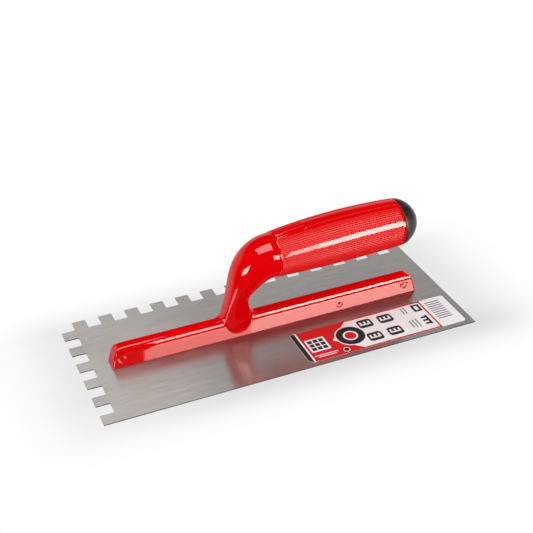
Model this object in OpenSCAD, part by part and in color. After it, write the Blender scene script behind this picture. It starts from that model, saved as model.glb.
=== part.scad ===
// Notched trowel: a square-notched steel blade under a plastic handle with a mounting rail, a gooseneck
// and a ribbed grip. The origin is the centre of the blade's underside. +X points to the plain short side,
// under the butt of the grip, +Y to the toothed long side, and +Z up through the handle.

/* [Blade] */
// Length of the blade
blade_len = 280; // [280:20:400]
// Width of the blade
blade_wid = 120; // [120:20:160]
// Thickness of the steel sheet
blade_t = 0.7; // [0.5:0.1:1.2]
// Width and depth of each square notch, and width of each tooth
notch = 10; // [10:10:20]
// Radius in the roots of the notches
notch_r = 0.8; // [0.2:0.1:2]

/* [Rail] */
// Length of the rail along the blade
rail_len = 239; // [230:1:270]
// Distance of the rail's centre from the blade's centre, towards the butt of the grip
rail_x = 1.3; // [0:0.1:5]
// Height of the rail above the blade
rail_h = 14.8; // [12:0.1:18]
// Width of the rail where it meets the blade
rail_w = 12.8; // [12:0.1:16]
// How far each long side leans in over the rail's height
side_lean = 1.2; // [0.5:0.1:2]
// How far each end leans in over the rail's height
end_lean = 3.9; // [1:0.1:6]
// Radius of the rail's top edges
rail_edge_r = 1.4; // [0.8:0.1:2]
// Thickness of the rail's walls
wall = 2; // [1.5:0.1:2.5]

/* [Neck] */
// Place of the neck's foot along the blade
foot_x = -23.7; // [-40:0.1:-15]
// Half of the foot's width along the blade, where it is widest
foot_half = 11.8; // [9:0.1:14]
// Half of the foot's width across the blade, at the same height
foot_half_y = 6.7; // [6.5:0.1:9]
// Radius of the neck where it meets the grip
neck_end_r = 15.9; // [14:0.1:16.2]

/* [Grip] */
// Place of the grip's front ring along the blade
grip_start = 5; // [0:0.5:15]
// Length of the grip sleeve
grip_len = 98; // [90:1:115]
// Radius of the grip at its front ring, in its belly as a curve weight, and at its butt
grip_r = [16.6, 20.7, 17.9];
// Height of the grip's axis above the blade at the same three places
grip_z = [58.4, 61.5, 61];
// Radius of the core tube inside the grip
core_r = 13.4; // [12:0.1:14]
// Height of the core tube's axis above the blade
core_z = 59.6; // [59:0.1:60]
// Thickness of the core tube's wall
core_wall = 2.4; // [2:0.1:3]

/* [End cap] */
// Radius of the cap where it meets the grip
cap_r = 17.5; // [16:0.1:17.8]
// How far the dome stands out of the grip
cap_len = 16.2; // [10:0.1:20]
// Length of the skirt that plugs into the core tube
skirt_len = 18; // [10:1:30]

/* [Rivets] */
// Number of rivets in a row under the rail
rivet_count = 5; // [3:1:7]
// Distance between rivets
rivet_pitch = 56; // [30:1:56]
// Radius of a rivet's shank
rivet_r = 1.6; // [1.2:0.1:2]
// Radius of a rivet's countersunk head
rivet_head_r = 2.3; // [2:0.1:3]
// Length of a rivet
rivet_len = 9; // [6:0.5:10]

/* [Label] */
// Length of the sticker
label_len = 126; // [80:1:130]
// Width of the sticker
label_wid = 35.5; // [20:0.5:38]
// Place of the sticker's left end along the blade
label_x = 9; // [0:1:10]
// Distance of the sticker from the blade's front edge
label_edge = 4; // [2:0.5:10]
// Thickness of the sticker
label_t = 0.15; // [0.1:0.05:0.3]

/* [Hidden] */
cut = 1;                 // how far a cutting shape runs past the surface it cuts
gap = 0.05;              // running gap between pieces that are fitted together
arc_fn = 48;
grip_end = grip_start + grip_len;
core_len = grip_len - 4;
foot_top = rail_h - 1.2; // height where the foot is widest, just under the rail's top
// Centreline of the neck in the XZ plane, as the control points of one Bezier curve
neck_path = [
    [foot_x, foot_top],
    [foot_x - 0.1, foot_top + 29],
    [foot_x + 4.7, foot_top + 16.6],
    [grip_start - 21.6, grip_z[0]],
    [grip_start, grip_z[0]]
];
// Half widths of the neck along its path, in the XZ plane and across it, as Bezier weights
neck_half = [foot_half, 0, 18, neck_end_r];
neck_half_y = [foot_half_y, foot_half_y + 2.7, 13, neck_end_r];
foot_depth = foot_top - 0.3;
foot_taper = 0.07;        // how fast the foot narrows front to back on its way down
foot_square = 3.8;        // squareness of the foot's section, where 2 is an ellipse
foot_drop = 2.4;          // how full the drop on the rail's side stays on its way down
neck_steps = 24;
foot_steps = 10;
ring_points = 36;

// Point on a Bezier curve, for numbers or vectors
function bezier(p, t) =
    len(p) == 1 ? p[0] : bezier([for (i = [0:len(p) - 2]) p[i] * (1 - t) + p[i + 1] * t], t);

// Direction of a Bezier curve
function bezier_dir(p, t) = bezier([for (i = [0:len(p) - 2]) p[i + 1] - p[i]], t);

function signed_pow(v, e) = sign(v) * pow(abs(v), e);

// Ring of points on a rounded-square ellipse round c, in the plane of the direction d across the XZ plane
function section(c, d, half, half_y, squareness) =
    let (n = [-d[1], d[0]] / norm(d), e = 2 / squareness)
    [for (k = [0:ring_points - 1])
        let (
            u = half * signed_pow(cos(360 * k / ring_points), e),
            v = half_y * signed_pow(sin(360 * k / ring_points), e)
        )
        [c[0] + n[0] * u, v, c[1] + n[1] * u]];

// Closed solid through a list of rings with equal numbers of points
module loft(rings) {
    n = len(rings[0]);
    last = len(rings) - 1;
    sides = [for (i = [0:last - 1], k = [0:n - 1])
        [i * n + k, i * n + (k + 1) % n, (i + 1) * n + (k + 1) % n, (i + 1) * n + k]];
    first_cap = [[for (k = [n - 1:-1:0]) k]];
    last_cap = [[for (k = [0:n - 1]) last * n + k]];
    polyhedron([for (ring = rings) each ring], concat(sides, first_cap, last_cap), convexity = 4);
}

// Trapezoid standing on the X axis, with its top corners rounded
module round_top(half, lean, h, r) {
    steep = atan2(h, lean);
    back = r / tan((180 - steep) / 2);
    side = [half - lean + back * cos(steep), h - back * sin(steep)];
    top = half - lean - back;
    polygon([[-half, 0], [half, 0], side, [top, h], [-top, h], [-side[0], side[1]]]);
    for (s = [-1, 1]) translate([s * top, h - r]) circle(r, $fn = arc_fn);
}

// One notch cutter: its root is at y = 0 and it is open towards +Y
module notch_2d() {
    for (x = [notch_r, notch - notch_r]) translate([x, notch_r]) circle(notch_r, $fn = 24);
    translate([0, notch_r]) square([notch, notch - notch_r + cut]);
    translate([notch_r, 0]) square([notch - 2 * notch_r, notch]);
}

module at_rivets() {
    for (k = [0:rivet_count - 1])
        translate([rail_x + (k - (rivet_count - 1) / 2) * rivet_pitch, 0, 0]) children();
}

module blade() color("silver") {
    pitch = 2 * notch;
    difference() {
        linear_extrude(blade_t) difference() {
            square([blade_len, blade_wid], center = true);
            for (x = [-blade_len / 2:pitch:blade_len / 2 - pitch])
                translate([x, blade_wid / 2 - notch]) notch_2d();
            for (y = [-blade_wid / 2 + notch:pitch:blade_wid / 2 - notch])
                translate([-blade_len / 2 + notch, y]) rotate(90) notch_2d();
        }
        at_rivets() translate([0, 0, -gap])
            cylinder(r1 = rivet_head_r + 2 * gap, r2 = rivet_r + gap, h = blade_t + 2 * gap, $fn = arc_fn);
    }
}

// The rail's outer block, or its inner channel when shrunk by the wall thickness
module rail_block(shrink, edge_r) {
    h = rail_h - shrink;
    intersection() {
        translate([-rail_len / 2, 0, 0]) rotate([90, 0, 90]) linear_extrude(rail_len)
            round_top(rail_w / 2 - shrink, side_lean * h / rail_h, h, edge_r);
        translate([0, rail_w / 2, 0]) rotate([90, 0, 0]) linear_extrude(rail_w)
            round_top(rail_len / 2 - shrink, end_lean * h / rail_h, h, edge_r);
    }
}

// Blocks that fill the channel round each rivet, and the cross ribs halfway between them
module rail_webs() {
    inner_w = rail_w - 2 * wall + gap;
    mid = rail_h / 2;
    for (k = [0:rivet_count - 1])
        translate([(k - (rivet_count - 1) / 2) * rivet_pitch, 0, mid])
            cube([inner_w, inner_w, rail_h + cut], center = true);
    for (k = [1:rivet_count - 1])
        translate([(k - rivet_count / 2) * rivet_pitch, 0, mid])
            cube([wall, inner_w, rail_h + cut], center = true);
}

module rail() {
    translate([rail_x, 0, 0]) difference() {
        rail_block(0, rail_edge_r);
        difference() {
            translate([0, 0, -gap]) rail_block(wall, rail_edge_r / 2);
            rail_webs();
        }
    }
}

module neck() {
    foot_rings = [for (k = [foot_steps - 1:-1:1])
        let (sink = 0.97 * k / (foot_steps - 1))
        section([foot_x, foot_top - foot_depth * sink], [0, 1],
                foot_half * pow(1 - pow(sink, foot_drop), 1 / foot_drop),
                foot_half_y - foot_taper * foot_depth * sink, foot_square)];
    neck_rings = [for (k = [0:neck_steps])
        let (t = k / neck_steps)
        section(bezier(neck_path, t), bezier_dir(neck_path, t), bezier(neck_half, t),
                bezier(neck_half_y, t), 2 + (foot_square - 2) * pow(1 - t, 2))];
    loft(concat(foot_rings, neck_rings));
}

// Tube inside the grip sleeve, closed at the neck and open at the butt for the cap
module core() {
    translate([grip_start - cut, 0, core_z]) rotate([0, 90, 0]) difference() {
        cylinder(r = core_r, h = core_len + cut, $fn = arc_fn);
        translate([0, 0, 12]) cylinder(r = core_r - core_wall, h = core_len, $fn = arc_fn);
    }
}

module handle_body() color("red") translate([0, 0, blade_t]) {
    difference() {
        rail();
        at_rivets() translate([0, 0, -cut])
            cylinder(r = rivet_r + gap, h = rivet_len + cut, $fn = arc_fn);
    }
    neck();
    core();
}

module grip_sleeve() color("red") translate([0, 0, blade_t]) {
    steps = 20;
    difference() {
        loft([for (k = [0:steps])
            let (t = k / steps)
            section([grip_start + grip_len * t, bezier(grip_z, t)], [1, 0],
                    bezier(grip_r, t), bezier(grip_r, t), 2)]);
        translate([grip_start - cut, 0, core_z]) rotate([0, 90, 0])
            cylinder(r = core_r + gap, h = grip_len + 2 * cut, $fn = arc_fn);
    }
}

module end_cap() color("dimgray") {
    dome_steps = 12;
    plug_r = core_r - core_wall - gap;
    plug_wall = 2;
    hollow = 6;
    dome = [for (k = [0:dome_steps])
        let (a = 90 * k / dome_steps)
        [cap_r * signed_pow(cos(a), 1.1), cap_len * signed_pow(sin(a), 1.1)]];
    difference() {
        union() {
            translate([grip_end, 0, blade_t + grip_z[2]]) rotate([0, 90, 0])
                rotate_extrude($fn = 96) polygon(concat([[0, 0]], dome));
            translate([grip_end - skirt_len, 0, blade_t + core_z]) rotate([0, 90, 0])
                cylinder(r = plug_r, h = skirt_len + cut, $fn = arc_fn);
        }
        translate([grip_end - skirt_len - cut, 0, blade_t + core_z]) rotate([0, 90, 0])
            cylinder(r = plug_r - plug_wall, h = skirt_len + cut + hollow, $fn = arc_fn);
    }
}

// Countersunk rivets, flush with the blade's underside, with ring barbs that bite in the rail's bosses
module blade_rivets() color("silver") at_rivets() {
    barb = 0.25;
    barb_pitch = 1.4;
    cylinder(r1 = rivet_head_r, r2 = rivet_r, h = blade_t, $fn = arc_fn);
    cylinder(r = rivet_r - barb, h = rivet_len + blade_t - cut, $fn = arc_fn);
    for (z = [blade_t:barb_pitch:rivet_len - barb_pitch])
        translate([0, 0, z]) cylinder(r1 = rivet_r, r2 = rivet_r - barb, h = barb_pitch, $fn = arc_fn);
}

module label() color("white") {
    r = 2.5;
    slant = 3;
    translate([label_x, -blade_wid / 2 + label_edge, blade_t]) linear_extrude(label_t) {
        polygon([[slant, 0], [label_len - r, 0], [label_len - r, label_wid], [0, label_wid], [0, slant]]);
        translate([label_len - 2 * r, r]) square([2 * r, label_wid - 2 * r]);
        for (y = [r, label_wid - r]) translate([label_len - r, y]) circle(r, $fn = 32);
    }
}

blade();
handle_body();
grip_sleeve();
end_cap();
blade_rivets();
label();
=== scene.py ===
"""Looks of a notched trowel, built round its CAD frame: a brushed steel blade, a glossy red handle with a
ribbed grip, a black end cap, the rivets underneath and a plain printed sticker. Lengths are in millimetres
until a mesh or a light is made, and heights h are measured from the top face of the blade."""

import math

import bpy
import numpy as np
from mathutils import Matrix, Vector


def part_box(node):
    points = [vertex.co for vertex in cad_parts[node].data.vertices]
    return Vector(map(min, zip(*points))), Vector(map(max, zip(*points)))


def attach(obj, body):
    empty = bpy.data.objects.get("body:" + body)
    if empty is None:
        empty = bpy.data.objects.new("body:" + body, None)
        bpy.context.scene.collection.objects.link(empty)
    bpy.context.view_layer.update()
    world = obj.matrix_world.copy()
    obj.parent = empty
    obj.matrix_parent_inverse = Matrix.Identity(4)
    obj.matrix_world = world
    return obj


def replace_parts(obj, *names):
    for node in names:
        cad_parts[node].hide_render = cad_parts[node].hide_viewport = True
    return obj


MM = 0.001
BODY = "root"

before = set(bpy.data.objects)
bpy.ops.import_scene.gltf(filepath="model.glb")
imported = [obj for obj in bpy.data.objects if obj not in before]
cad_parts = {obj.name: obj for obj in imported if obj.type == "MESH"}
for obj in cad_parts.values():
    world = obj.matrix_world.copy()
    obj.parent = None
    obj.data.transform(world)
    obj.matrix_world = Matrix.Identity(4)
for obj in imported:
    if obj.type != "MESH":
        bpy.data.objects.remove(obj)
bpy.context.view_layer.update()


def box_mm(node):
    """Lowest and highest corner of a CAD node in millimetres."""
    return [np.array(corner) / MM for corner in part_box(node)]


blade_lo, blade_hi = box_mm("blade")
body_lo, body_hi = box_mm("handle_body")
grip_lo, grip_hi = box_mm("grip_sleeve")
cap_lo, cap_hi = box_mm("end_cap")
label_lo, label_hi = box_mm("label")
BLADE_TOP = blade_hi[2]
GRIP_START, GRIP_END = grip_lo[0], grip_hi[0]
RAIL_CENTRE = (body_lo[0] + body_hi[0]) / 2
RAIL_HALF = (body_hi[0] - body_lo[0]) / 2

# Design of the handle, as in the CAD part
RAIL_H, RAIL_HALF_W = 14.8, 6.4
SIDE_LEAN, END_LEAN = 1.2, 3.9     # how far in the rail's walls lean from bottom to top
RAIL_CORNER = 1.4         # rounding of the upright edges between its walls
RAIL_EDGE = 3.0           # how far in from a wall the rounding of its top starts
RAIL_END_EDGE = 4.0       # the same at the ends of its top
RAIL_SHOULDER = 6.0       # how far down from the top its rounding starts
FOOT_X = -23.7            # middle of the neck's foot
FOOT_TOP = RAIL_H - 1.2   # height where the foot is widest
FOOT_DEPTH = FOOT_TOP - 0.3
FOOT_DROP = 2.4           # how full the foot stays on its way down
FOOT_TAPER = 0.07         # how fast it narrows front to back on its way down
FOOT_SQUARE = 3.8         # power of its cross-section: 2 is an oval, and more is squarer
FILLET_LEFT, FILLET_RIGHT = 4.8, 2.7     # between the neck and the rail's top, on the neck's two sides
CORE_R, CORE_H = 13.4, 59.6              # the tube inside the grip
CORE_WALL = 2.4
CORE_SOLID = 11           # how far its solid part reaches into the grip
CORE_START, CORE_END = GRIP_START - 1, GRIP_END - 5
CAP_R = 17.5

# Bezier weights, from the foot to the grip's front ring: x and h of the neck's centreline, and half of the
# neck's thickness seen from the side (NECK_HALF) and from above (NECK_HALF_Y)
NECK_PATH = np.array([[FOOT_X, FOOT_TOP], [FOOT_X - 0.1, FOOT_TOP + 29], [FOOT_X + 4.7, FOOT_TOP + 16.6],
                      [GRIP_START - 21.6, 58.4], [GRIP_START, 58.4]])
NECK_HALF = np.array([11.8, 0.0, 18, 15.9])
NECK_HALF_Y = np.array([6.7, 9.4, 13.0, 15.9])

# Bezier weights, from the grip's front ring to its butt: its radius and the height of its centreline
GRIP_R = np.array([16.6, 20.7, 17.9])
GRIP_H = np.array([58.4, 61.5, 61.0])

# The photograph's camera, in degrees and millimetres. It looks at a point level with the blade's top face.
CAMERA_HEADING, CAMERA_TILT, CAMERA_ROLL = np.radians((22.7125, 32.545, -0.996))
CAMERA_TARGET = (30.71, 71.49, BLADE_TOP)
CAMERA_DISTANCE, CAMERA_LENS = 860.42, 73.49
CAMERA_SIDE = (-math.sin(CAMERA_HEADING) * math.cos(CAMERA_TILT),
               -math.cos(CAMERA_HEADING) * math.cos(CAMERA_TILT), math.sin(CAMERA_TILT))


# ---------------------------------------------------------------- curves and meshes

def bezier_terms(weights):
    """Polynomial coefficients, highest power first, of a Bezier curve through numbers."""
    n = len(weights) - 1
    terms = np.zeros(n + 1)
    for k, weight in enumerate(weights):
        for j in range(n - k + 1):
            share = math.comb(n, k) * math.comb(n - k, j) * (-1) ** j
            terms[n - (k + j)] += share * weight
    return terms


def smooth(value, start, end):
    """0 before start, 1 after end, and a soft step between them."""
    t = np.clip((value - start) / (end - start), 0, 1)
    return t * t * (3 - 2 * t)


def hump(value, middle, width):
    """1 at the middle, and fading to 0 on both sides of it."""
    return np.exp(-((value - middle) / width) ** 2)


def spaced(*runs):
    """Grid lines: each run is (start, end, spacing)."""
    lines = [np.linspace(a, b, max(2, round((b - a) / gap) + 1))[:-1] for a, b, gap in runs]
    return np.concatenate(lines + [[runs[-1][1]]])


def make_object(name, points, faces, material, normals=None):
    """A mesh object on the trowel's body, from points in millimetres."""
    mesh = bpy.data.meshes.new(name)
    mesh.from_pydata((np.asarray(points, float) * MM).tolist(), [], [list(map(int, f)) for f in faces])
    mesh.update()
    mesh.materials.append(material)
    mesh.polygons.foreach_set("use_smooth", [True] * len(mesh.polygons))
    if normals is not None:
        mesh.normals_split_custom_set_from_vertices([tuple(n) for n in normals])
    thing = bpy.data.objects.new(name, mesh)
    bpy.context.scene.collection.objects.link(thing)
    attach(thing, BODY)
    return thing


def ring_faces(rings, around, closed_ends=True):
    """Quads between rings of equal numbers of points, and a face over each end when the ends are closed."""
    faces = []
    for i in range(rings - 1):
        for k in range(around):
            j = (k + 1) % around
            faces.append((i * around + k, i * around + j, (i + 1) * around + j, (i + 1) * around + k))
    if closed_ends:
        faces.append(tuple(range(around - 1, -1, -1)))
        faces.append(tuple((rings - 1) * around + k for k in range(around)))
    return faces


def surface_net(field, axes):
    """Quads round the zero surface of a sampled field. They face the side where the field is above zero."""
    inside = field < 0
    shape = np.array(field.shape)
    count = sum(inside[i:shape[0] - 1 + i, j:shape[1] - 1 + j, k:shape[2] - 1 + k].astype(np.int8)
                for i in (0, 1) for j in (0, 1) for k in (0, 1))
    active = (count > 0) & (count < 8)
    cells = np.argwhere(active)
    index = np.full(active.shape, -1)
    index[active] = np.arange(len(cells))
    total, hits = np.zeros((len(cells), 3)), np.zeros(len(cells))
    for axis in range(3):
        others = [(axis + 1) % 3, (axis + 2) % 3]
        for step in ((0, 0), (0, 1), (1, 0), (1, 1)):
            start = cells.copy()
            start[:, others] += step
            end = start.copy()
            end[:, axis] += 1
            low, high = field[tuple(start.T)], field[tuple(end.T)]
            cross = (low < 0) != (high < 0)
            share = low[cross] / (low[cross] - high[cross])
            point = np.stack([axes[k][start[cross, k]] for k in range(3)], 1)
            point[:, axis] += share * (axes[axis][end[cross, axis]] - axes[axis][start[cross, axis]])
            total[cross] += point
            hits[cross] += 1
    faces = []
    for axis in range(3):
        one, two = (axis + 1) % 3, (axis + 2) % 3
        low = np.take(inside, range(shape[axis] - 1), axis)
        high = np.take(inside, range(1, shape[axis]), axis)
        edges = np.argwhere(low != high)
        edges = edges[(edges[:, one] > 0) & (edges[:, one] < shape[one] - 1)]
        edges = edges[(edges[:, two] > 0) & (edges[:, two] < shape[two] - 1)]
        corners = []
        for back in ((0, 0), (1, 0), (1, 1), (0, 1)):
            cell = edges.copy()
            cell[:, one] -= back[0]
            cell[:, two] -= back[1]
            corners.append(index[tuple(cell.T)])
        quads = np.stack(corners, 1)
        flip = ~low[tuple(edges.T)]
        quads[flip] = quads[flip][:, ::-1]
        faces.append(quads)
    return total / hits[:, None], np.concatenate(faces)


def slope(field, p, step=0.02):
    """Gradient of a field at points, by central differences."""
    out = np.empty_like(p)
    for axis in range(3):
        shift = np.zeros(3)
        shift[axis] = step
        out[:, axis] = (field(*(p + shift).T) - field(*(p - shift).T)) / (2 * step)
    return out


def settle(points, field, rounds, longest=0.5):
    """Moves points on to the field's zero surface, by no more than longest in each round."""
    for _ in range(rounds):
        g = slope(field, points)
        steepness = np.maximum((g * g).sum(1), 0.05)
        step = field(*points.T)[:, None] * g / steepness[:, None]
        points = points - np.clip(step, -longest, longest)
    return points


def even_out(points, faces, movable, field, rounds, pull=0.6):
    """Spreads the points of a mesh more evenly along the surface it lies on, by moving each one towards the
    middle of its neighbours."""
    for _ in range(rounds):
        total, hits = np.zeros_like(points), np.zeros(len(points))
        for k in range(4):
            for other in ((k + 1) % 4, (k + 3) % 4):
                np.add.at(total, faces[:, k], points[faces[:, other]])
                np.add.at(hits, faces[:, k], 1)
        middle = total / np.maximum(hits, 1)[:, None]
        points = np.where(movable[:, None], points * (1 - pull) + middle * pull, points)
        points = np.where(movable[:, None], settle(points, field, 1), points)
    return points


# ---------------------------------------------------------------- handle body

def round_meet(parts, radii):
    """Field of the space inside all the parts. Each part turns into its neighbours over its own radius. Where
    no surface is near, the nearest part counts alone."""
    near = [np.maximum(part + radius, 0) / radius for part, radius in zip(parts, radii)]
    size = np.sqrt(sum(share ** 2 for share in near))
    steep = np.sqrt(sum((share / radius) ** 2 for share, radius in zip(near, radii)))
    return np.where(size > 0.02, (size - 1) * size / np.maximum(steep, 1e-6), np.maximum(*parts))


def fillet_join(a, b, radius):
    """Field of two solids joined with a fillet."""
    round_part = np.hypot(np.maximum(radius - a, 0), np.maximum(radius - b, 0))
    return np.maximum(radius, np.minimum(a, b)) - round_part


RING_MARK = (56.4, 5.2)       # x and height of the ring-shaped mould mark on the rail's sides
PAD_MARKS = (111, -110)       # x of the middle of each round pad near the rail's ends
PAD_MARK_H = 6.4


def dimple(x, h, spot, radius, depth):
    """Depth of a small round mark in the rail's side."""
    away = ((x - spot[0]) ** 2 + (h - spot[1]) ** 2) / radius ** 2
    return depth * np.exp(-away ** 2)


def rail_marks(x, h):
    """Ejector and sink marks left by the mould on the rail's sides."""
    away = np.hypot(x - RING_MARK[0], h - RING_MARK[1])
    marks = dimple(x, h, RING_MARK, 0.8, 0.3) - 0.06 * hump(away, 1.9, 0.45)
    for middle in PAD_MARKS:
        away = np.hypot(x - middle, h - PAD_MARK_H)
        marks = marks + dimple(x, h, (middle - 2, PAD_MARK_H + 0.8), 1.1, 0.3) + 0.10 * hump(away, 2.4, 0.7)
    return marks


def rail_field(x, y, h):
    """The rail on the blade, with leaning walls, rounded edges and the mould's marks."""
    side_slope = math.hypot(RAIL_H, SIDE_LEAN) / RAIL_H
    end_slope = math.hypot(RAIL_H, END_LEAN) / RAIL_H
    side = (np.abs(y) - RAIL_HALF_W + SIDE_LEAN * h / RAIL_H) / side_slope + rail_marks(x, h)
    end = (np.abs(x - RAIL_CENTRE) - RAIL_HALF + END_LEAN * h / RAIL_H) / end_slope
    walls = round_meet([side, end], [RAIL_CORNER, RAIL_CORNER])
    edge = RAIL_EDGE + (RAIL_END_EDGE - RAIL_EDGE) * smooth(end - side, -3, 1)
    return round_meet([walls, h - RAIL_H], [edge, RAIL_SHOULDER])


def neck_place(x, h):
    """For points of the XZ plane: how far along the neck they are (0 to 1), and how far off its centreline.
    The nearest of some stations is a first guess, which Newton's method then makes exact."""
    path_x, path_h = bezier_terms(NECK_PATH[:, 0]), bezier_terms(NECK_PATH[:, 1])
    speed_x, speed_h = np.polyder(path_x), np.polyder(path_h)
    x, h = np.broadcast_arrays(x, h)
    flat_x, flat_h = x.ravel(), h.ravel()
    stations = np.linspace(0, 1, 120)
    station_x, station_h = np.polyval(path_x, stations), np.polyval(path_h, stations)
    t = np.empty(len(flat_x))
    at_once = 20000
    for start in range(0, len(t), at_once):
        part = slice(start, start + at_once)
        gap = (flat_x[part, None] - station_x) ** 2 + (flat_h[part, None] - station_h) ** 2
        t[part] = stations[gap.argmin(1)]
    least = 100               # keeps a step short where the centreline bends towards the point
    for _ in range(3):
        dx, dh = flat_x - np.polyval(path_x, t), flat_h - np.polyval(path_h, t)
        vx, vh = np.polyval(speed_x, t), np.polyval(speed_h, t)
        bend = dx * np.polyval(np.polyder(speed_x), t) + dh * np.polyval(np.polyder(speed_h), t)
        t = np.clip(t + (dx * vx + dh * vh) / np.maximum(vx * vx + vh * vh - bend, least), 0, 1)
    dx, dh = flat_x - np.polyval(path_x, t), flat_h - np.polyval(path_h, t)
    vx, vh = np.polyval(speed_x, t), np.polyval(speed_h, t)
    off = (dh * vx - dx * vh) / np.hypot(vx, vh)
    return t.reshape(x.shape), off.reshape(x.shape)


def neck_field(x, y, h):
    """The gooseneck above the rail, and the drop-shaped foot that sinks into the rail below it."""
    t, off = neck_place(x, h)
    foot = h < FOOT_TOP
    sink = np.where(foot, np.clip((FOOT_TOP - h) / FOOT_DEPTH, 0, 1.5), 0)
    square = np.where(foot, FOOT_SQUARE, 2 + (FOOT_SQUARE - 2) * (1 - t) ** 2)
    drop = NECK_HALF[0] * np.maximum(1 - sink ** FOOT_DROP, 0.01) ** (1 / FOOT_DROP)
    half = np.where(foot, drop, np.polyval(bezier_terms(NECK_HALF), t))
    taper = NECK_HALF_Y[0] - FOOT_TAPER * (FOOT_TOP - h)
    half_y = np.where(foot, taper, np.polyval(bezier_terms(NECK_HALF_Y), t))
    across = np.abs(np.where(foot, x - FOOT_X, off))
    size = ((across / half) ** square + (np.abs(y) / half_y) ** square) ** (1 / square)
    reach = np.hypot(across, y)
    centre, deep_inside = 0.05, -9
    out = np.where(size < centre, deep_inside, reach * (1 - 1 / np.maximum(size, centre)))
    return np.maximum(out, x - GRIP_START)


def core_field(x, y, h):
    """Tube that carries the grip sleeve, open towards the butt."""
    away = np.hypot(y, h - CORE_H)
    solid = np.maximum(away - CORE_R, np.abs(x - (CORE_START + CORE_END) / 2) - (CORE_END - CORE_START) / 2)
    hollow = np.maximum(away - (CORE_R - CORE_WALL), GRIP_START + CORE_SOLID - x)
    return np.maximum(solid, -hollow)


def body_field(x, y, h):
    """The whole handle. The fillet round the neck is on the rail's top and fades out at the rail's sides."""
    rail, neck = rail_field(x, y, h), neck_field(x, y, h)
    high = smooth(h, RAIL_H - 2.2, RAIL_H)
    wide = FILLET_LEFT - (FILLET_LEFT - FILLET_RIGHT) * smooth(x, FOOT_X - 4, FOOT_X + 4)
    radius = 0.2 + high * wide * (1 - smooth(np.abs(y), 2.5, 6.0))
    handle = np.maximum(fillet_join(rail, neck, radius), -h)
    return np.minimum(handle, core_field(x, y, h))


def handle_body(material):
    """The handle as one smooth mesh, from a grid that is finer at the rail's ends, its marks and the neck."""
    xs = spaced((body_lo[0] - 1, -104, 0.5), (-104, -59, 1.2), (-59, -54, 0.5), (-54, -44, 1.0),
                (-44, 7, 0.6), (7, 53, 1.2), (53, 60, 0.45), (60, 106, 1.2), (106, body_hi[0] + 1, 0.5))
    half = spaced((0.25, 3.5, 0.65), (3.5, 7.2, 0.4), (7.2, 17, 0.65))
    ys = np.concatenate([-half[::-1], half])
    hs = spaced((-0.25, 16.1, 0.45), (16.1, 76, 0.65))
    field = body_field(xs[:, None, None], ys[None, :, None], hs[None, None, :])
    points, faces = surface_net(field, (xs, ys, hs))
    points = settle(points, body_field, 3)
    margin = 0.6
    movable = (points[:, 2] > margin) & (points[:, 0] < GRIP_START - margin)
    points = even_out(points, faces, movable, body_field, 3)
    points = settle(points, body_field, 2)
    normals = slope(body_field, points)
    normals /= np.linalg.norm(normals, axis=1)[:, None]
    points[:, 2] = np.maximum(points[:, 2], 0) + BLADE_TOP
    handle = make_object("handle_body_shell", points, faces, material, normals)
    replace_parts(handle, "handle_body")


# ---------------------------------------------------------------- grip sleeve

RIBS_PER_SIDE = 28
LINES_PER_RIB = 10
RIB_REACH = 66            # degrees from the middle of each side to where the ribs end
STRIP_LINES = 80          # lines on the smooth strip above the ribs, and on the one below them
GROOVE_DEPTH = 0.28
FACET_ZONE = (13, 37)     # degrees between which the plain facet of each side lies
FACET_EDGES = (19, 30)    # where the lines that follow its edges lie before they are shifted to them
FACET_LOW = 18            # degrees from the middle of the side to the facet's lower edge, at the front ring
FACET_WIDTH = 9.5         # degrees across it, near the front ring
PANEL_START = 24          # distance from the grip's front ring to the long thumb panel
PANEL_ROOM = 0.25         # how far the grip lies under its envelope, so that the panels fit under it too
BORE_GAP = 0.05           # play between the sleeve and the core


def grip_angles():
    """Angles of the lines along the grip. 0 degrees is the front and 90 the top. The lines are closest
    together at the facet's edges, from a bit outside each edge to a bit inside it."""
    side = np.linspace(-RIB_REACH, RIB_REACH, LINES_PER_RIB * RIBS_PER_SIDE + 1)
    low, high = FACET_EDGES
    outer, inner = 1.4, 0.6
    facet = spaced((FACET_ZONE[0], low - outer, 0.45), (low - outer, low + inner, 0.2),
                   (low + inner, high - inner, 0.5), (high - inner, high + outer, 0.2),
                   (high + outer, FACET_ZONE[1], 0.45))
    side = np.sort(np.concatenate([side[(side < FACET_ZONE[0]) | (side > FACET_ZONE[1])], facet]))
    strip = np.linspace(RIB_REACH, 180 - RIB_REACH, STRIP_LINES + 1)[:-1]
    return np.concatenate([side[:-1], strip, np.sort(180 - side)[:-1], strip + 180])


def follow_facet(angles, low, high):
    """Shifts the lines round the grip so that the same ones always run along the facet's edges. Also gives
    each line's angle from the middle of its own side."""
    front = np.abs((angles + 90) % 360 - 90) < 90
    across = (np.where(front, angles, 180 - angles) + 180) % 360 - 180
    across = np.interp(across, (-180, FACET_ZONE[0], *FACET_EDGES, FACET_ZONE[1], 180),
                       (-180, FACET_ZONE[0], low, high, FACET_ZONE[1], 180))
    return np.where(front, across, 180 - across), across


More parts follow.
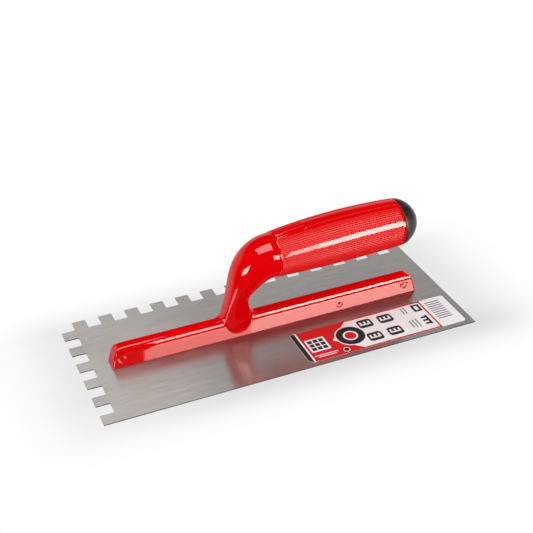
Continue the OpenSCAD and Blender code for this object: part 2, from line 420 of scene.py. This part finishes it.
def panel_height(angles, from_ring, from_butt):
    """How far the panels on the grip's top and underside stand out: a short stepped one next to the front
    ring, and a long one with a shoulder on each edge."""
    crown = np.abs(np.abs((angles + 180) % 360 - 180) - 90)
    long_panel = smooth(from_ring, PANEL_START - 0.8, PANEL_START + 0.8) * smooth(from_butt, 1.6, 2.8)
    short_panel = smooth(from_ring, 1.0, 1.8) * (1 - smooth(from_ring, PANEL_START - 1.2, PANEL_START + 0.2))
    shoulder = 0.34 * hump(crown, 15.5, 1.2) - 0.28 * hump(crown, 19.5, 1.8)
    steps = 0.25 * (hump(crown, 22.5, 1.2) + hump(crown, 8.5, 1.2))
    steps = steps - 0.22 * (hump(crown, 19.5, 1.3) + hump(crown, 11.8, 1.3))
    return long_panel * shoulder + short_panel * steps


def grip_relief(angles, x, radius):
    """The lines round the grip at one station, how far the surface lies under its envelope on them, and which
    of them are ribbed."""
    from_ring, from_butt = x - GRIP_START, GRIP_END - x
    ends = smooth(from_ring, 1.0, 2.2) * smooth(from_butt, 1.6, 2.8)
    low = FACET_LOW + 2 * np.clip(from_ring / 90, 0, 1)
    width = FACET_WIDTH * smooth(from_ring, 2.0, 9) + 2.5 * np.clip((from_ring - 12) / 85, 0, 1)
    angles, across = follow_facet(angles, low, low + max(width, 1.5))
    share = (across + RIB_REACH) / (2 * RIB_REACH) * RIBS_PER_SIDE
    depths = 0.5 - 0.5 * np.cos(2 * np.pi * share)
    middle, half = low + width / 2, max(width / 2, 0.01)
    off = np.abs(across - middle)
    on_facet = 1 - smooth(off, half - 0.2, half + 0.4)
    flat = radius * (1 - math.cos(math.radians(half)) / np.cos(np.radians(np.minimum(off, half))))
    rim = half + 0.9
    border = 0.22 * hump(off, rim, 0.6) * smooth(width, 1.5, 4)
    shallow = 1 - 0.7 * hump(off, rim, 0.9)
    ribbed = np.where(np.abs(across) < RIB_REACH, ends * (1 - on_facet), 0)
    relief = PANEL_ROOM + ribbed * GROOVE_DEPTH * depths * shallow + ends * (border + flat * on_facet)
    return angles, relief - panel_height(angles, from_ring, from_butt), ribbed


def grip_profile():
    """Stations along the grip as (x, inset), with a rounded edge at both ends."""
    edge = 0.55
    arc = np.radians(np.linspace(0, 90, 5))
    start = [(GRIP_START + edge * (1 - math.sin(a)), edge * (1 - math.cos(a))) for a in arc]
    end = [(GRIP_END - edge * (1 - math.sin(a)), edge * (1 - math.cos(a))) for a in arc]
    lines = spaced((GRIP_START + edge, GRIP_START + 4, 0.35), (GRIP_START + 4, GRIP_START + 20, 1.0),
                   (GRIP_START + 20, GRIP_START + 28, 0.5), (GRIP_START + 28, GRIP_END - 4, 2.0),
                   (GRIP_END - 4, GRIP_END - edge, 0.35))
    return start[::-1] + [(x, 0) for x in lines[1:-1]] + end


def grip_sleeve(material):
    """The ribbed sleeve: rings of points from its front to its butt, joined by a bore round the core."""
    angles = grip_angles()
    stations = grip_profile()
    centre_terms, radius_terms = bezier_terms(GRIP_H), bezier_terms(GRIP_R)
    points, ribbed = [], []

    def ring(x, lines, radius, h, matt):
        turn = np.radians(lines)
        hs = h + radius * np.sin(turn) + BLADE_TOP
        points.extend(zip(np.full(len(lines), x), -radius * np.cos(turn), hs))
        ribbed.extend(matt)

    bore = np.full(len(angles), CORE_R + BORE_GAP)
    plain = np.zeros(len(angles))
    ring(GRIP_START, angles, bore, CORE_H, plain)
    for x, inset in stations:
        t = (x - GRIP_START) / (GRIP_END - GRIP_START)
        radius = np.polyval(radius_terms, t)
        lines, relief, matt = grip_relief(angles, x, radius)
        ring(x, lines, radius - inset - relief, np.polyval(centre_terms, t), matt)
    ring(GRIP_END, angles, bore, CORE_H, plain)
    around, rings = len(angles), len(stations) + 2
    last = (rings - 1) * around
    faces = ring_faces(rings, around, closed_ends=False)
    faces += [(last + k, last + (k + 1) % around, (k + 1) % around, k) for k in range(around)]
    faces = [face[::-1] for face in faces]
    sleeve = make_object("grip_sleeve_ribbed", points, faces, material)
    sleeve.data.set_sharp_from_angle(angle=math.radians(50))
    sleeve.data.attributes.new("ribbed", "FLOAT", "POINT").data.foreach_set("value", ribbed)
    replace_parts(sleeve, "grip_sleeve")


# ---------------------------------------------------------------- end cap

CAP_SEAM = 0.02           # gap between the cap and the grip
SKIRT_R = 10.95
DOME_POWER = 1.1          # 1 gives an ellipse, and more a slightly more pointed dome


def end_cap(material):
    """Domed cap with a rounded rim, a seam against the grip and the skirt that plugs into the core."""
    around = 96
    length = cap_hi[0] - GRIP_END
    skirt = [(cap_lo[0], 8.9), (cap_lo[0], SKIRT_R - 0.35), (cap_lo[0] + 0.4, SKIRT_R),
             (GRIP_END + CAP_SEAM, SKIRT_R)]
    rim = [(GRIP_END + out, CAP_R - under) for out, under in ((CAP_SEAM, 0.9), (0.12, 0.45), (0.35, 0.15))]
    profile = [(x, r, CORE_H) for x, r in skirt] + [(x, r, GRIP_H[2]) for x, r in rim]
    for a in np.radians(np.linspace(3.2, 89, 34)):
        x = GRIP_END + length * math.sin(a) ** DOME_POWER
        profile.append((x, CAP_R * math.cos(a) ** DOME_POWER, GRIP_H[2]))
    turn = np.radians(np.arange(around) * 360 / around)
    points = [(x, -r * math.cos(a), h + r * math.sin(a) + BLADE_TOP) for x, r, h in profile for a in turn]
    faces = [face[::-1] for face in ring_faces(len(profile), around)]
    cap = make_object("end_cap_dome", points, faces, material)
    cap.data.set_sharp_from_angle(angle=math.radians(35))
    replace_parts(cap, "end_cap")


# ---------------------------------------------------------------- label

LABEL_BASE = 0.085        # thickness of the sticker's film
INK = 0.012               # thickness of each printed layer


def rounded(points, radius, steps=6):
    """Outline with its corners rounded by one radius, or by one for each corner. Points run
    counterclockwise."""
    points = [np.array(p, float) for p in points]
    radii = radius if isinstance(radius, (list, tuple)) else [radius] * len(points)
    out = []
    for k, corner in enumerate(points):
        before, after = points[k - 1] - corner, points[(k + 1) % len(points)] - corner
        before, after = before / np.linalg.norm(before), after / np.linalg.norm(after)
        half = math.acos(np.clip(before @ after, -1, 1)) / 2
        if radii[k] <= 0:
            out.append(tuple(corner))
            continue
        back = radii[k] / math.tan(half)
        centre = corner + (before + after) / np.linalg.norm(before + after) * radii[k] / math.sin(half)
        first, last = corner + before * back - centre, corner + after * back - centre
        for share in np.linspace(0, 1, steps + 1):
            mix = first * (1 - share) + last * share
            out.append(tuple(centre + mix / np.linalg.norm(mix) * radii[k]))
    return out


def block(s, w, length, width, radius=0.0):
    """Rounded rectangle centred at a place on the label."""
    left, right, low, high = s - length / 2, s + length / 2, w - width / 2, w + width / 2
    return rounded([(left, low), (right, low), (right, high), (left, high)], radius)


def disc(s, w, radius, sides=48):
    turns = [2 * math.pi * k / sides for k in range(sides)]
    return [(s + radius * math.cos(a), w + radius * math.sin(a)) for a in turns]


def sheet(name, outlines, low, high, material):
    """Flat closed prisms of the given outlines, in label coordinates, between two heights over the blade."""
    points, faces = [], []
    for outline in outlines:
        base, n = len(points), len(outline)
        for height in (low, high):
            points.extend((label_lo[0] + s, label_lo[1] + w, BLADE_TOP + height) for s, w in outline)
        faces.append([base + k for k in range(n)][::-1])
        faces.append([base + n + k for k in range(n)])
        faces.extend([base + k, base + (k + 1) % n, base + n + (k + 1) % n, base + n + k] for k in range(n))
    piece = make_object(name, points, faces, material)
    piece.data.polygons.foreach_set("use_smooth", [False] * len(piece.data.polygons))
    piece.visible_glossy = False
    return piece


def label_icons():
    """Outlines of four pictograms of tile beds: black tiles with pale combs in them."""
    tiles, pale = [], []
    for s, w in ((56.4, 26.6), (72.8, 26.2), (56.3, 9.9), (72.6, 10.1)):
        tiles.append(block(s, w, 11.4, 9.6, 2.2))
        pale.append(block(s, w - 1.2, 8.6, 1.3, 0.3))
        for step in (-3.3, 0, 3.3):
            pale.append(block(s + step, w + 0.9, 1.6, 3.2, 0.3))
    return tiles, pale


def label(white, red, black, grey):
    """The sticker: a white film with one slanted corner, and thin layers of print on it. Places on it are in
    millimetres along its length (s) and its width (w)."""
    length, width = label_hi[0] - label_lo[0], label_hi[1] - label_lo[1]
    slant, corner, small = 3.0, 2.5, 0.4
    outline = rounded([(slant, 0), (length, 0), (length, width), (0, width), (0, slant)],
                      [small, corner, corner, 0.6, small])
    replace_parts(sheet("label_base", [outline], 0, LABEL_BASE, white), "label")
    levels = [LABEL_BASE + INK * k for k in range(6)]

    # A red field, cut in to a point at the badge, and a red frame round the rest up to a cross line
    field_start, field_end, cross, band = 4.8, 44.5, 105.4, 1.4
    field = [(field_start, 0), (field_end, 0), (26.0, width / 2), (field_end, width), (field_start, width)]
    frame_middle, frame_length = (field_end + cross) / 2, cross - field_end + 0.6
    lines = [block(frame_middle, w, frame_length, band) for w in (band / 2, width - band / 2)]
    lines.append(block(cross, width / 2, band, width))
    sheet("label_red_print", [field] + lines, levels[0], levels[1], red)

    margin, strip_end = 0.15, 3.5
    strip = [(slant, margin), (strip_end, margin), (strip_end, width - margin), (margin, width - margin),
             (margin, slant)]
    tiles, pale = label_icons()
    gauge, comb = (100.2, 28.4), (98.9, 12.2)
    teeth = [block(comb[0], comb[1] + k * 3.8, 3.8, 2.0, 0.2) for k in (-1, 0, 1)]
    sheet("label_black_print", [strip] + tiles + [block(*gauge, 6.6, 8.6, 0.5)] +
          [block(comb[0] + 2.5, comb[1], 1.9, 11.4, 0.2)] + teeth, levels[0], levels[1], black)

    # A round badge, a small round mark next to it, and a grid of squares on a white patch
    badge, dot, grid = (40.2, width / 2), (30.4, 4.1), (14.0, 17.6)
    pitch, square = 4.3, 3.4
    sheet("label_white_print", [block(*grid, 15.0, 15.2, 0.6), disc(*badge, 11.6), disc(*dot, 2.5)] + pale +
          [block(*gauge, 2.8, 5.0, 0.3)], levels[1], levels[2], white)
    squares = [block(grid[0] + i * pitch, grid[1] + j * pitch, square, square, 0.5)
               for i in (-1, 0, 1) for j in (-1, 0, 1)]
    sheet("label_badge_print", [disc(*badge, 10.6), disc(*dot, 1.9)] + squares, levels[2], levels[3], black)
    sheet("label_badge_ring", [disc(*badge, 5.6)], levels[3], levels[4], white)
    sheet("label_badge_heart", [disc(*badge, 4.2)], levels[4], levels[5], red)

    # Plain bars in place of writing and of a bar code
    rows = [block(91.0 - 2.4 * k, 28.8, 1.1, 8.0 - k, 0.2) for k in (0, 1)]
    rows += [block(92.4 - 2.7 * k, 11.8, 1.2, 11.0 - 1.5 * k, 0.2) for k in (0, 1, 2)]
    bars = [block(114.4, 10.0 + 2.6 * k, 11.6, 1.25) for k in range(9)]
    sheet("label_grey_print", rows + bars, levels[0], levels[1], grey)
    notes = [block(15.4, 5.6 - 1.9 * k, 18.0 - 4 * k, 0.8, 0.2) for k in (0, 1)]
    sheet("label_note_lines", notes, levels[1], levels[2], white)


# ---------------------------------------------------------------- shader graphs

def add(tree, kind, inputs=None, **settings):
    """A shader node. Inputs are values or sockets to link, by name or number."""
    node = tree.nodes.new(kind)
    for name, value in settings.items():
        setattr(node, name, value)
    for name, value in (inputs or {}).items():
        if isinstance(value, bpy.types.NodeSocket):
            tree.links.new(value, node.inputs[name])
        else:
            node.inputs[name].default_value = value
    return node


def calc(tree, operation, a, b=0.0):
    return add(tree, "ShaderNodeMath", {0: a, 1: b}, operation=operation).outputs[0]


def ramp(tree, value, start, end, low=0.0, high=1.0, curve="SMOOTHSTEP"):
    """Low before start, high after end, with a soft step between them."""
    return add(tree, "ShaderNodeMapRange", {"Value": value, "From Min": start, "From Max": end, "To Min": low,
                                            "To Max": high}, interpolation_type=curve).outputs["Result"]


def place(tree, scale=(1, 1, 1)):
    """Coordinates on the object in millimetres, stretched by scale."""
    where = add(tree, "ShaderNodeTexCoord").outputs["Object"]
    inputs = {"Vector": where, "Scale": [s / MM for s in scale]}
    return add(tree, "ShaderNodeMapping", inputs).outputs["Vector"]


def noise(tree, vector, scale, detail=2.0, rough=0.5):
    return add(tree, "ShaderNodeTexNoise", {"Vector": vector, "Scale": scale, "Detail": detail,
                                            "Roughness": rough}).outputs["Fac"]


def mix_colour(tree, share, a, b):
    node = add(tree, "ShaderNodeMix", {0: share}, data_type="RGBA")
    for socket, value in ((node.inputs[6], a), (node.inputs[7], b)):
        if isinstance(value, bpy.types.NodeSocket):
            tree.links.new(value, socket)
        else:
            socket.default_value = (*value, 1)
    return node.outputs[2]


def new_material(name):
    material = bpy.data.materials.new(name)
    material.use_nodes = True
    material.node_tree.nodes.clear()
    return material, material.node_tree


def surface(tree, inputs):
    """Principled surface joined to the material's output."""
    shader = add(tree, "ShaderNodeBsdfPrincipled", inputs)
    add(tree, "ShaderNodeOutputMaterial", {"Surface": shader.outputs[0]})


def bump(tree, height, distance, strength=1.0, normal=None):
    inputs = {"Height": height, "Distance": distance * MM, "Strength": strength}
    if normal is not None:
        inputs["Normal"] = normal
    return add(tree, "ShaderNodeBump", inputs).outputs["Normal"]


# ---------------------------------------------------------------- materials

RIBS_MATT = 0.32          # how much more matt the fine ribs are than smooth plastic
PLASTIC_MATT = 0.18       # how much more matt plastic is when it isn't seen from the photograph's side
STEEL_MATT = 0.40         # the same for the blade


def camera_side(tree, away, facing):
    """A value that is facing for what is seen from the photograph's side or in a reflection, and away from
    elsewhere. The lamps are placed for that side, so surfaces shine less when seen from the others, which
    keeps the lamps from glaring."""
    viewer = add(tree, "ShaderNodeNewGeometry").outputs["Incoming"]
    toward = add(tree, "ShaderNodeVectorMath", {0: viewer, 1: CAMERA_SIDE}, operation="DOT_PRODUCT")
    side = calc(tree, "MAXIMUM", ramp(tree, toward.outputs["Value"], 0.4, 0.9), is_glossy(tree))
    return ramp(tree, side, 0, 1, away, facing, "LINEAR")


def is_glossy(tree):
    return add(tree, "ShaderNodeLightPath").outputs["Is Glossy Ray"]


def moulded_plastic(name, colour, deep, roughness, grain):
    """Injection-moulded plastic: faint flow streaks, slight sink waviness, fine scuffs and satin ribs."""
    material, tree = new_material(name)
    at = place(tree)
    flow = noise(tree, place(tree, (0.25, 1, 1)), 0.12, 3)
    scuff = ramp(tree, noise(tree, place(tree, (0.3, 1.4, 1.4)), 1.6, 4, 0.6), 0.62, 0.80)
    tone = mix_colour(tree, ramp(tree, flow, 0.35, 0.7), deep, colour)
    ribbed = add(tree, "ShaderNodeAttribute", attribute_name="ribbed").outputs["Fac"]
    rough = calc(tree, "ADD", roughness, calc(tree, "MULTIPLY", scuff, 0.06))
    rough = calc(tree, "ADD", rough, calc(tree, "MULTIPLY", ribbed, RIBS_MATT))
    rough = calc(tree, "ADD", rough, camera_side(tree, PLASTIC_MATT, 0))
    waves = bump(tree, noise(tree, at, 0.07, 1), 0.02)
    fine = bump(tree, noise(tree, at, 2.2, 2), grain, normal=waves)
    shine = calc(tree, "MULTIPLY", ramp(tree, ribbed, 0, 1, 0.5, 0.19, "LINEAR"), camera_side(tree, 0.4, 1))
    surface(tree, {"Base Color": tone, "Roughness": rough, "IOR": 1.5, "Specular IOR Level": shine,
                   "Normal": fine})
    return material


def brushed_steel(name, colour, roughness, stretch, brush):
    """Sheet steel brushed along X: fine streaks, a highlight spread across them and a few smudges. In
    reflections it is smooth and polished."""
    material, tree = new_material(name)
    fine = noise(tree, place(tree, (0.08, 1.3, 1.3)), 1.0, 3, 0.65)
    broad = noise(tree, place(tree, (0.02, 0.45, 0.45)), 1.0, 2, 0.5)
    smudge = noise(tree, place(tree, (0.5, 1, 1)), 0.035, 3, 0.55)
    streak = calc(tree, "ADD", calc(tree, "MULTIPLY", fine, 0.7), calc(tree, "MULTIPLY", broad, 0.3))
    dull = tuple(c * 0.82 for c in colour)
    tone = mix_colour(tree, ramp(tree, streak, 0.33, 0.67), dull, colour)
    rough = calc(tree, "ADD", roughness - 0.05, calc(tree, "MULTIPLY", smudge, 0.10))
    rough = calc(tree, "ADD", rough, camera_side(tree, STEEL_MATT, 0))
    mirrored, polished = is_glossy(tree), 0.015
    rough = calc(tree, "MAXIMUM", calc(tree, "SUBTRACT", rough, mirrored), polished)
    grain = bump(tree, streak, brush, calc(tree, "SUBTRACT", 1, mirrored))
    across = add(tree, "ShaderNodeCombineXYZ", {"X": 0.0, "Y": 1.0, "Z": 0.0}).outputs[0]
    surface(tree, {"Base Color": tone, "Metallic": 1.0, "Roughness": rough, "Anisotropic": stretch,
                   "Tangent": across, "Normal": grain})
    return material


def soft_black(name):
    """Satin black plastic with a fine moulded grain."""
    material, tree = new_material(name)
    at = place(tree)
    wear = ramp(tree, noise(tree, at, 0.22, 4, 0.6), 0.45, 0.8)
    tone = mix_colour(tree, wear, (0.010, 0.010, 0.011), (0.022, 0.022, 0.023))
    rough = calc(tree, "ADD", 0.42, calc(tree, "MULTIPLY", wear, 0.14))
    grain = bump(tree, noise(tree, at, 1.7, 3), 0.03)
    surface(tree, {"Base Color": tone, "Roughness": rough, "IOR": 1.5, "Normal": grain})
    return material


def ink(name, colour):
    """Printed film: a faint print mottle under a satin lacquer."""
    material, tree = new_material(name)
    at = place(tree)
    mottle = noise(tree, at, 0.9, 3, 0.6)
    tone = mix_colour(tree, ramp(tree, mottle, 0.3, 0.7), tuple(c * 0.93 for c in colour), colour)
    waves = bump(tree, noise(tree, at, 0.05, 2), 0.03)
    surface(tree, {"Base Color": tone, "Roughness": 0.35, "IOR": 1.45,
                   "Specular IOR Level": camera_side(tree, 0, 0.5), "Normal": waves})
    return material


def zinc(name):
    """Bright zinc plating with a slight spangle."""
    material, tree = new_material(name)
    at = place(tree)
    spangle = noise(tree, at, 1.3, 3, 0.6)
    tone = mix_colour(tree, ramp(tree, spangle, 0.35, 0.65), (0.50, 0.51, 0.52), (0.66, 0.67, 0.68))
    rough = ramp(tree, spangle, 0.3, 0.7, 0.22, 0.36)
    surface(tree, {"Base Color": tone, "Metallic": 1.0, "Roughness": rough,
                   "Normal": bump(tree, spangle, 0.01)})
    return material


# ---------------------------------------------------------------- stage

def past(tree, a, b, reach):
    """How far a lies past b as a share of reach, and 0 before b."""
    return calc(tree, "DIVIDE", calc(tree, "MAXIMUM", calc(tree, "SUBTRACT", a, b), 0), reach)


def painted_floor_shadow(tree):
    """Painted soft shadow round the blade's footprint, drawn into the floor's glow as the share of light that
    is left on the floor.
    Its depth changes along the blade, in one way in front of it and in another behind it."""
    where = add(tree, "ShaderNodeNewGeometry").outputs["Position"]
    parts = add(tree, "ShaderNodeSeparateXYZ", {0: where}).outputs
    x, y = [calc(tree, "DIVIDE", parts[axis], MM) for axis in "XY"]
    sides = calc(tree, "ADD", past(tree, blade_lo[0], x, 33), past(tree, x, blade_hi[0], 40))
    ends = calc(tree, "ADD", past(tree, blade_lo[1], y, 20.5), past(tree, y, blade_hi[1], 15.5))
    away = calc(tree, "SQRT", calc(tree, "ADD", calc(tree, "POWER", sides, 2), calc(tree, "POWER", ends, 2)))
    fade = calc(tree, "EXPONENT", calc(tree, "MULTIPLY", calc(tree, "POWER", away, 1.9), -1))
    in_front = ramp(tree, y, -62, -30, 1, 0)
    front_depth = ramp(tree, x, -155, -30, 0.12, 0.265)
    back_depth = calc(tree, "MULTIPLY", ramp(tree, x, -140, 140, 0.155, 0.175, "LINEAR"),
                      ramp(tree, y, 52, 66, 1.15, 0.75))
    amount = calc(tree, "ADD", calc(tree, "MULTIPLY", front_depth, in_front),
                  calc(tree, "MULTIPLY", back_depth, calc(tree, "SUBTRACT", 1, in_front)))
    return calc(tree, "SUBTRACT", 1, calc(tree, "MULTIPLY", amount, fade))


def floor_material():
    """White studio floor with a painted soft shadow of the trowel, not a cast one. From below it is clear, to
    show the underside.
    """
    material, tree = new_material("floor_white")
    # The floor's glow is dimmed round the blade by the painted shadow, not by any lamp
    glow = add(tree, "ShaderNodeEmission", {"Color": (1, 1, 1, 1), "Strength": painted_floor_shadow(tree)})
    clear = add(tree, "ShaderNodeBsdfTransparent")
    under = add(tree, "ShaderNodeNewGeometry").outputs["Backfacing"]
    both = add(tree, "ShaderNodeMixShader", {0: under, 1: glow.outputs[0], 2: clear.outputs[0]})
    add(tree, "ShaderNodeOutputMaterial", {"Surface": both.outputs[0]})
    return material


def floor():
    """A floor just under the blade. It isn't seen in reflections, which come from the lamps and the room."""
    mesh = bpy.data.meshes.new("floor")
    reach, low = 3.0, -0.02 * MM
    mesh.from_pydata([(-reach, -reach, low), (reach, -reach, low), (reach, reach, low), (-reach, reach, low)],
                     [], [(0, 1, 2, 3)])
    mesh.materials.append(floor_material())
    thing = bpy.data.objects.new("floor", mesh)
    bpy.context.scene.collection.objects.link(thing)
    thing.visible_glossy = False


def softbox(name, low, high, facing, radiance, only=(), colour=(1, 1, 1)):
    """Rectangular light between two opposite corners, in millimetres, seen only in reflections, and only in
    those of the pieces in only, if any are given."""
    low, high = Vector(low) * MM, Vector(high) * MM
    turn = Vector(facing).to_track_quat("-Z", "Y").to_matrix()
    span = turn.transposed() @ (high - low)
    lamp = bpy.data.lights.new(name, "AREA")
    lamp.shape = "RECTANGLE"
    lamp.size, lamp.size_y = abs(span.x), abs(span.y)
    lamp.energy = radiance * math.pi * lamp.size * lamp.size_y
    lamp.color = colour
    thing = bpy.data.objects.new(name, lamp)
    thing.matrix_world = Matrix.Translation((low + high) / 2) @ turn.to_4x4()
    thing.visible_camera = False
    thing.visible_diffuse = False
    bpy.context.scene.collection.objects.link(thing)
    if only:
        receivers = bpy.data.collections.new(name + "_receivers")
        for piece in only:
            receivers.objects.link(piece)
        thing.light_linking.receiver_collection = receivers


def lights():
    """The photograph's softboxes, placed from their reflections on the plastic, and those that only the steel
    or the cap shows. Where two boxes stand side by side, the reflection changes along a piece."""
    warm = (1.0, 0.95, 0.87)
    to_front, to_back, to_left, to_right = (0, -1, 0), (0, 1, 0), (-1, 0, 0), (1, 0, 0)
    down, up = (0, 0, -1), (0, 0, 1)
    front, back, ceiling = -640, 800, 1000
    start, middle, end = 54, 212, 640         # along X, of the two boxes that the grip's facet mirrors
    low, high, higher = 70, 335, 352          # their heights; the blade sees them a little higher up
    near, right = 12, 19
    softbox("front_near", (start, front, low), (middle, front, high), to_back, near, colour=warm)
    softbox("front_right", (middle, front, low), (end, front, high), to_back, right, colour=warm)
    softbox("front_left", (-1256, front, 6), (-537, front, 300), to_back, 15)
    softbox("overhead", (-500, -720, ceiling), (150, 0, ceiling), down, 5)

    blade = [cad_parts["blade"]]
    softbox("blade_near", (start, front, high), (middle, front, higher), to_back, near, blade, warm)
    softbox("blade_front", (middle, front, high), (end, front, higher), to_back, right, blade, warm)
    split = 235
    softbox("blade_back", (split, back, 0), (1300, back, ceiling), to_front, 0.73, blade)
    softbox("blade_back_left", (-900, back, 0), (split, back, ceiling), to_front, 0.7, blade)
    softbox("blade_back_high", (-900, back - 1, 620), (205, back - 1, ceiling), to_front, 0.5, blade, warm)
    softbox("blade_top_left", (-300, -100, ceiling), (215, 450, ceiling), down, 5.5, blade, warm)
    softbox("blade_under", (-700, -700, -800), (700, 700, -800), up, 0.8, blade)
    softbox("blade_far_front", (-1500, -1400, 100), (1500, -1400, 1400), to_back, 0.4, blade)
    softbox("blade_left", (-1400, -1200, 0), (-1400, 1200, 1000), to_right, 0.4, blade)
    softbox("blade_left_strip", (-1399, -900, 380), (-1399, -100, 860), to_right, 7, blade)
    softbox("blade_right", (1400, -1200, 0), (1400, 1200, 1000), to_left, 0.35, blade)
    softbox("blade_top", (-900, -500, 1500), (900, 1300, 1500), down, 0.5, blade)
    softbox("cap_floor", (150, -300, 1), (1200, 900, 1), up, 0.85, [bpy.data.objects["end_cap_dome"]])


def studio():
    """White behind the object for the camera. Reflections see a dark room with a pale horizon at the back,
    and matt surfaces get a soft light from all round."""
    world = bpy.data.worlds.new("studio")
    bpy.context.scene.world = world
    world.use_nodes = True
    tree = world.node_tree
    tree.nodes.clear()
    path = add(tree, "ShaderNodeLightPath").outputs
    direction = add(tree, "ShaderNodeNewGeometry").outputs["Incoming"]
    parts = add(tree, "ShaderNodeSeparateXYZ", {0: direction}).outputs
    height = calc(tree, "MULTIPLY", parts["Z"], -1)
    behind = ramp(tree, calc(tree, "MULTIPLY", parts["Y"], -1), 0.2, 0.6)
    pale = calc(tree, "MULTIPLY", ramp(tree, height, 0.34, 0.52, 0.55, 0.0), behind)
    room = calc(tree, "ADD", pale, 0.012)
    front = ramp(tree, parts["Y"], -1, 0.3, 0.72, 1.04)
    soft = calc(tree, "MULTIPLY", ramp(tree, height, 0.0, 0.8, 1.14, 1.02), front)
    seen, glossy = path["Is Camera Ray"], path["Is Glossy Ray"]
    other = calc(tree, "SUBTRACT", 1, calc(tree, "MAXIMUM", seen, glossy))
    strength = calc(tree, "ADD", calc(tree, "ADD", seen, calc(tree, "MULTIPLY", room, glossy)),
                    calc(tree, "MULTIPLY", soft, other))
    glow = add(tree, "ShaderNodeBackground", {"Color": (1, 1, 1, 1), "Strength": strength})
    add(tree, "ShaderNodeOutputWorld", {"Surface": glow.outputs[0]})


def camera():
    target, back_off = Vector(CAMERA_TARGET) * MM, Vector((0, 0, CAMERA_DISTANCE * MM))
    turn = (Matrix.Rotation(-CAMERA_HEADING, 3, "Z") @ Matrix.Rotation(math.pi / 2 - CAMERA_TILT, 3, "X")
            @ Matrix.Rotation(CAMERA_ROLL, 3, "Z"))
    data = bpy.data.cameras.new("camera")
    data.lens, data.sensor_width = CAMERA_LENS, 36
    data.clip_start, data.clip_end = 0.01, 20
    thing = bpy.data.objects.new("camera", data)
    thing.matrix_world = Matrix.Translation(target + turn @ back_off) @ turn.to_4x4()
    bpy.context.scene.collection.objects.link(thing)
    bpy.context.scene.camera = thing


# ---------------------------------------------------------------- the trowel

def build():
    """The new pieces with their materials, and materials for the blade and the rivets, which keep their CAD
    meshes."""
    red, deep_red = (0.80, 0.0006, 0.0020), (0.74, 0.0005, 0.0018)
    grain = 0.0004
    handle_body(moulded_plastic("handle_red", red, deep_red, 0.03, grain))
    grip_sleeve(moulded_plastic("grip_red", red, deep_red, 0.04, grain))
    end_cap(soft_black("cap_black"))
    label(ink("label_white", (0.95, 0.93, 0.94)), ink("label_red", (0.74, 0.009, 0.010)),
          ink("label_black", (0.025, 0.025, 0.027)), ink("label_grey", (0.30, 0.30, 0.31)))
    steel = brushed_steel("blade_steel", (0.37, 0.354, 0.342), roughness=0.24, stretch=0.85, brush=0.002)
    for node, material in (("blade", steel), ("blade_rivets", zinc("rivet_steel"))):
        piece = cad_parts[node]
        piece.data.materials.clear()
        piece.data.materials.append(material)


build()
floor()
lights()
studio()
camera()
bpy.context.scene.view_settings.view_transform = "Standard"
bpy.context.view_layer.update()
